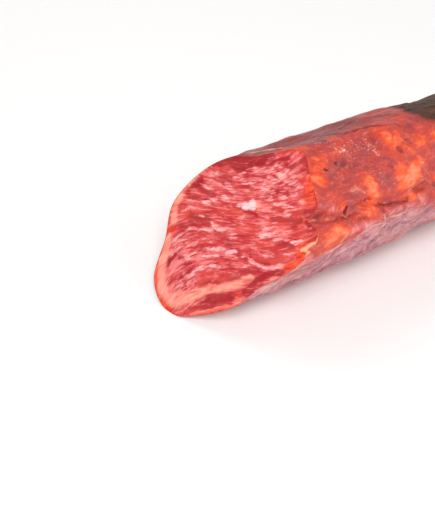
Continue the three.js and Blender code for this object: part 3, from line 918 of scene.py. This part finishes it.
relief = {  # heights and sizes in mm
    "crease": -1.3,
    "creaseWidth": 6.0,  # photo pixels
    "seam": -0.5,
    "seamWidth": 5.0,
    "lineFade": 0.1,  # half widths from its middle, where a crease or seam starts to fade
    "orange": 0.35,
    "salmon": 0.6,
    "mauve": -0.2,
    "wine": -0.35,
    "pale": 0.16,
    "dark": -0.8,
    "lumps": 0.45,
    "lumpSize": (11.0, 8.0, 8.0),
    "lumpSeed": 5.1,
    "lumpLess": 0.5,  # how much flatter the lumps are on the mauve under side
    "wrinkles": 0.6,
    "wrinkleSize": (10.0, 3.2, 3.2),
    "wrinkleSeed": 11.3,
    "taut": 0.2,  # share of the wrinkles that the casing keeps above the under side
    "lapEdge": 0.5,
    "lapStep": (0.45, 0.65),  # of foldShape, where the folded patch rises
    "cutFat": -0.1,
    "gather": 0.9,
}
edging = {"fade": (0.15, 0.9), "farOff": 1.0}  # mm from the cut's outline; m, for points not near it


def paintCut(piece, points, shared, onMesh):
    # paints the cut's strokes, edge and grain on the points near it, and gives its relief; the points
    # that it has shared with the casing are its outline
    def onFace(spot):
        # the cut bulges a little off its plane, so the mesh itself is asked first
        hit = onMesh(spot)
        return hit if hit is not None and abs(footOfCut(hit)) < loin["hitWithin"] else onCut(spot)

    near = np.abs(footOfCut(points)) < loin["paintWithin"]
    wavy = wavered(points[near], **waverings["cut"])
    amounts = {name: np.zeros(len(points)) for name in cutStrokes}
    for name, strokes in cutStrokes.items():
        if name in feather["strokes"]:
            strokes = feathered(strokes)
        amounts[name][near] = strokeAmount(wavy, strokes, onFace)
        paint(piece, "cut" + name.capitalize(), amounts[name])
    outline = points[shared]
    gap = np.full(len(points), edging["farOff"])
    gap[near] = [np.linalg.norm(outline - p, axis=1).min() for p in points[near]]
    paint(piece, "cutEdging", 1 - smoothstep(gap / mm, *edging["fade"]))
    grain = np.zeros_like(points)
    grain[near] = grainPlaces(onPhoto(points[near]))
    layer = piece.data.attributes.new("grain", "FLOAT_VECTOR", "POINT")
    layer.data.foreach_set("vector", grain.astype(np.float32).ravel())
    return amounts["fat"] * relief["cutFat"]


# fields of colour for the unseen side: size in mm, and the values of the noise where each fades in
scattered = {
    "orange": {"size": (20, 14, 14), "seed": 31.3, "fade": (0.1, 0.5)},
    "salmon": {"size": (16, 11, 11), "seed": 47.9, "fade": (0.22, 0.6)},
    "mauve": {"size": (18, 12, 12), "seed": 61.1, "fade": (0.1, 0.5)},
    "wine": {"size": (26, 7, 7), "seed": 73.7, "fade": (0.2, 0.55)},
    "rose": {"size": (22, 10, 10), "seed": 29.1, "fade": (0.25, 0.6), "most": 0.6},
    "pale": {"size": (26, 9, 9), "seed": 83.3, "fade": (0.0, 0.035), "lines": True},
    "dark": {"size": (40, 11, 11), "seed": 91.7, "fade": (0.0, 0.04), "lines": True, "most": 0.5},
}
breaks = {"seedStep": 5.5, "fade": (0, 0.25)}  # a second noise breaks the lines into lengths
# what shows in the photo: how much it faces the camera, 1 being straight, and its x in photo pixels
shown = {"facing": (0.0, 0.25), "across": (424, 438)}

# bands along the piece, in degrees as turnAround gives them, each edge from where to where it fades
bands = {
    "wobble": {"size": (26, 14, 14), "seed": 3.7},
    "wobbleReach": 14,
    "underSoft": 10.0,
    "underEnd": (318, 350),
    "torn": {"size": (22, 16, 16), "seed": 19.9},
    "tornShare": 0.35,  # of the mauve that the unseen side loses, give or take tornReach of the noise
    "tornReach": 0.6,
    "ridgeStart": (30, 44),
    "ridgeEnd": (74, 92),
    "ridgeWobble": 0.3,
    "ridgeFaint": (-0.02, 0.0),  # m along X, where the ridge loses ridgeLoss of its strength
    "ridgeLoss": 0.6,
}
# the patch where the casing lies folded: mm along X, then degrees round the loin; rag and soft in mm
fold = {
    "middle": (35.5, 66.0),
    "reach": (19.0, 37.0),
    "corner": 4,  # how square the outline is
    "rag": 2.6,
    "ragSize": (12, 6, 6),
    "ragSeed": 23.1,
    "soft": 4.0,
}
pucker = {
    "along": (0.07, 0.115),  # m, where the casing starts to gather and where it is full
    "stretch": 8,  # the noise of the pleats is read this slowly along the piece
    "radius": 5,  # and on a circle this wide round it
    "seed": 52.3,
    "fade": (0.02, 0.22),
}


def beyondPhoto(points, facings):
    # 1 where the photo doesn't show the casing, 0 where it does
    away = np.array(cameraPlace) - points
    facing = (facings * away).sum(1) / np.linalg.norm(away, axis=1)
    inside = 1 - smoothstep(onPhoto(points)[:, 0], *shown["across"])
    return 1 - smoothstep(facing, *shown["facing"]) * inside


def scatter(points, size, seed, fade, lines=False, most=1.0):
    # patches, or thin lines, strewn about for the side the photo doesn't show
    field = ripple(points, size, seed)
    if not lines:
        return most * smoothstep(field, *fade)
    low, high = fade
    field = (low + high) / 2 + (high - low) - np.abs(field)
    broken = smoothstep(ripple(points, size, seed + breaks["seedStep"], 1), *breaks["fade"])
    return most * smoothstep(field, low, high) * broken


def gathered(points, turn):
    # how far the casing is drawn together at the far end, and the grooves between its pleats
    gather = smoothstep(points[:, 0], *pucker["along"])
    across, up = (pucker["radius"] * way(np.radians(turn)) for way in (np.cos, np.sin))
    circle = np.stack([points[:, 0] * pucker["stretch"], across, up], 1)
    groove = 1 - smoothstep(np.abs(ripple(circle * mm, (1, 1, 1), pucker["seed"])), *pucker["fade"])
    return gather, groove


def beyondLine(points, line, softness):
    # 1 where a point lies further round the loin than a line of points on it, 0 before it
    turns, order = turnAround(line), np.argsort(line[:, 0])
    edge = np.interp(points[:, 0], line[order, 0], turns[order])
    return smoothstep(turnAround(points) - edge, -softness, softness)


def foldShape(points, turn):
    # the folded, dried patch: 0.5 on its ragged outline, 1 well inside
    across = (points[:, 0] / mm - fold["middle"][0]) / fold["reach"][0]
    around = (turn - fold["middle"][1]) / fold["reach"][1]
    out = (across ** fold["corner"] + around ** fold["corner"]) ** (1 / fold["corner"])
    rag = ripple(points, fold["ragSize"], fold["ragSeed"], 3) * fold["rag"]
    inside = (1 - out) * fold["reach"][0] + rag
    return np.clip(0.5 + inside / fold["soft"] / 2, 0, 1)


def paintBands(piece, points, turn, unseen, onMesh):
    # the mauve under side below the seam, the brown ridge on top and the folded patch on it
    seam = np.array(located(casingLines["seam"], onMesh))
    wobble = ripple(points, **bands["wobble"]) * bands["wobbleReach"]
    low, high = bands["underEnd"]
    under = beyondLine(points, seam, bands["underSoft"])
    under *= 1 - smoothstep(turn, low + wobble * 2, high + wobble)
    torn = ripple(points, **bands["torn"])
    under *= 1 - unseen * (bands["tornShare"] - bands["tornReach"] * torn)
    paint(piece, "skinUnder", under)
    ridge = smoothstep(turn, *bands["ridgeStart"])
    ridge *= 1 - smoothstep(turn + wobble * bands["ridgeWobble"], *bands["ridgeEnd"])
    ridge *= 1 - bands["ridgeLoss"] * smoothstep(points[:, 0], *bands["ridgeFaint"])
    paint(piece, "skinRidge", ridge)
    lap = foldShape(points, turn)
    paint(piece, "skinLap", lap)
    return under, lap


def paintSkin(piece, points, onMesh):
    # paints the casing's strokes and bands, and gives its relief
    height = np.zeros(len(points))
    wavy = wavered(points, **waverings["skin"])
    turn = turnAround(points)
    unseen = beyondPhoto(points, rowsOf(piece.data.vertex_normals, "vector"))
    gather, groove = gathered(points, turn)
    for name, strokes in casingStrokes.items():
        amount = strokeAmount(wavy, strokes, onMesh)
        if name in scattered:
            amount = np.maximum(amount, unseen * scatter(points, **scattered[name]))
        # the grooves between the pleats at the far end are painted dark wine: painted shade in them
        if name == "wine":
            amount = np.maximum(amount, gather * groove)
        paint(piece, "skin" + name.capitalize(), amount)
        height += amount * relief.get(name, 0)
    under, lap = paintBands(piece, points, turn, unseen, onMesh)
    crease, seam = (
        strokeAmount(points, ((relief[name + "Width"], 1.0, *spots),), onMesh, relief["lineFade"])
        for name, spots in casingLines.items()
    )
    folded = smoothstep(lap, *relief["lapStep"]) * relief["lapEdge"]
    height += crease * relief["crease"] + seam * relief["seam"] + folded
    wrinkle = 1 - 2 * np.abs(ripple(points, relief["wrinkleSize"], relief["wrinkleSeed"]))
    loose = relief["taut"] + (1 - relief["taut"]) * under
    height += (wrinkle - 0.5) * relief["wrinkles"] * loose - gather * groove * relief["gather"]
    lump = ripple(points, relief["lumpSize"], relief["lumpSeed"])
    height += lump * relief["lumps"] * (1 - under * relief["lumpLess"])
    return height


def finishPiece(piece):
    # paints the piece, then raises its points by the relief of the cut and of the casing
    mesh = piece.data
    points = rowsOf(mesh.vertices, "co")
    slots = countsOf(mesh.polygons, "material_index")
    ofCut = np.zeros(len(points))
    ofSkin = np.zeros(len(points))
    for polygon, slot in zip(mesh.polygons, slots):
        (ofCut if slot else ofSkin)[list(polygon.vertices)] = 1
    onMesh = meshFinder(piece)
    cutHeight = paintCut(piece, points, ofCut * ofSkin > 0, onMesh)
    skinHeight = paintSkin(piece, points, onMesh)
    awayFromCut = np.maximum(footOfCut(points) - loin["skinStart"], 0)
    skinShare = ofSkin * (1 - ofCut) * smoothstep(awayFromCut, 0, loin["skinFade"])
    cutShare = ofCut * (1 - ofSkin)
    height = cutHeight * cutShare + skinHeight * skinShare
    lowest = np.minimum(points[:, 2], loin["footing"])
    points += rowsOf(mesh.vertex_normals, "vector") * height[:, None] * mm
    points[:, 2] = np.maximum(points[:, 2], lowest)
    mesh.vertices.foreach_set("co", points.ravel())
    mesh.update()
    print("painted and raised:", round(float(height.min()), 2), "to", round(float(height.max()), 2), "mm")


finishPiece(loinPiece)


bakeMap = {
    "skinTop": 0.55,  # shares of the map's height
    "cutFrom": 0.57,
    "gap": 0.008,
    "spare": 4,  # degrees past each end of the full turn
    "end": (0.10, 0.13),  # m along X; past this the far end is laid out by its distance from the axis
    "endShare": 0.9,
}


def layBakeMap(piece):
    # flat places for a painted texture: the skin unrolled below, the cut face above
    mesh = piece.data
    points = rowsOf(mesh.vertices, "co")
    corners = countsOf(mesh.loops, "vertex_index")
    faceOf = np.repeat(np.arange(len(mesh.polygons)), countsOf(mesh.polygons, "loop_total"))
    slots = countsOf(mesh.polygons, "material_index")[faceOf]
    turn = turnAround(points)[corners]
    middle = turnAround(rowsOf(mesh.polygons, "center"))[faceOf]
    turn += 360 * np.round((middle - turn) / 360)
    gap, spare = bakeMap["gap"], bakeMap["spare"]
    out = np.hypot(points[:, 1], points[:, 2] - loin["axisHeight"] * mm)
    length = points[:, 0] - out * bakeMap["endShare"] * smoothstep(points[:, 0], *bakeMap["end"])
    length = length[corners]
    spread = (length - length[slots == 0].min()) / np.ptp(length[slots == 0])
    around = (turn + spare) / (360 + 2 * spare)
    flat = np.stack([gap + spread * (1 - 2 * gap), gap + around * (bakeMap["skinTop"] - 2 * gap)], 1)
    cut = slots == 1
    face = np.stack([points[:, 2], points[:, 1]], 1)[corners[cut]]
    share = (face - face.min(0)) / np.ptp(face, axis=0)
    flat[cut, 0] = gap + share[:, 0] * (1 - 2 * gap)
    flat[cut, 1] = bakeMap["cutFrom"] + share[:, 1] * (1 - bakeMap["cutFrom"] - gap)
    layer = mesh.uv_layers.new(name="OFBake")
    layer.data.foreach_set("uv", flat.astype(np.float32).ravel())


layBakeMap(loinPiece)
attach(loinPiece, "root")
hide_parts(loin["node"])
print("map laid, piece handed over")
